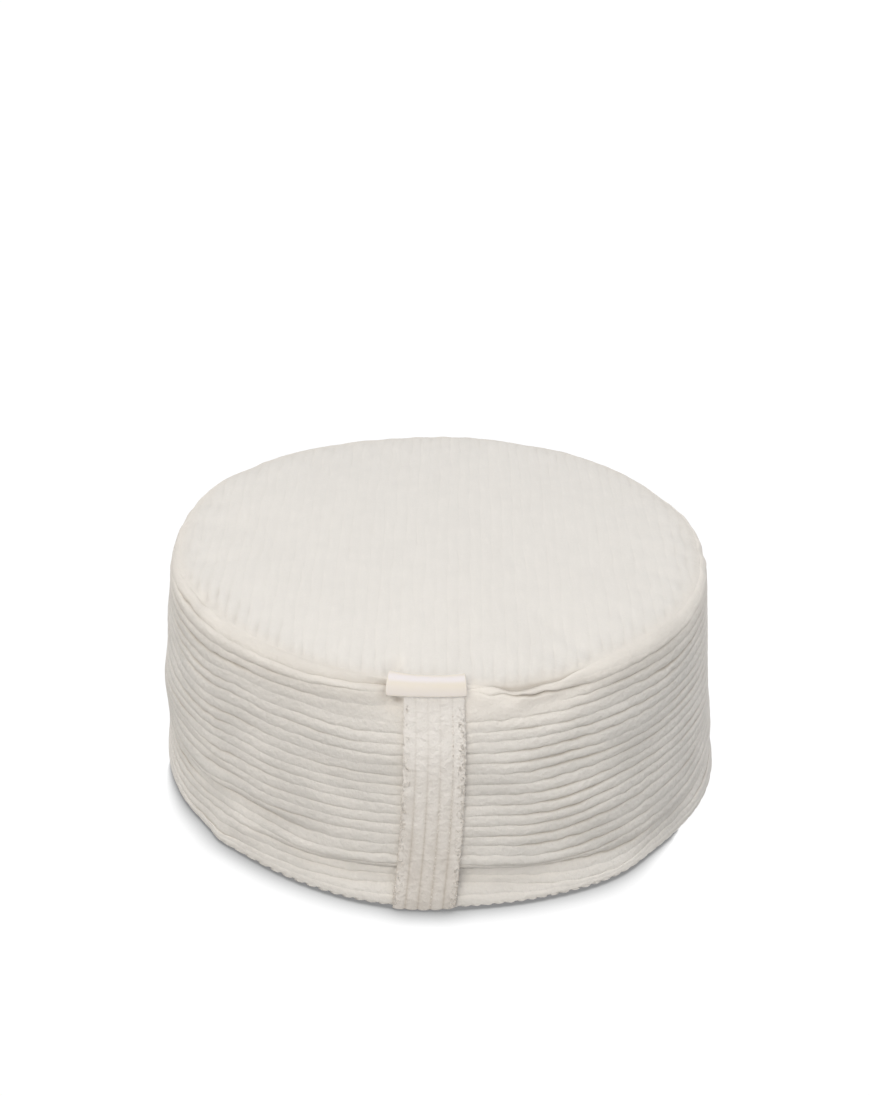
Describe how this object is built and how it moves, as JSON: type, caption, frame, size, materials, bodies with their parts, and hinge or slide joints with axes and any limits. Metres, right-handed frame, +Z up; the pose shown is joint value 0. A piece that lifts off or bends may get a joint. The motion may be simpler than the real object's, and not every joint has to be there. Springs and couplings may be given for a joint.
{
  "type": "meditation cushion",
  "caption": "Round filled floor cushion in wide-wale corduroy with a crowned top, a ribbed side band, a carry strap and a folded seam tab.",
  "frame": {"origin": "middle of the flat base, on the surface the cushion rests on", "axes": "+Z up out of the crowned top, -Y towards the front with the carry strap, +X to the right seen from the front"},
  "size_m": [0.3569, 0.3574, 0.1495],
  "materials": {
    "corduroy": "soft off-white cut-pile corduroy with wide wales",
    "strap_corduroy": "off-white corduroy strip with fuzzy cut edges",
    "leather": "smooth cream leather with a soft sheen"
  },
  "bodies": {
    "root": {"cushion": "corduroy", "carry_strap": "strap_corduroy", "seam_tab": "leather"}
  },
  "joints": []
}
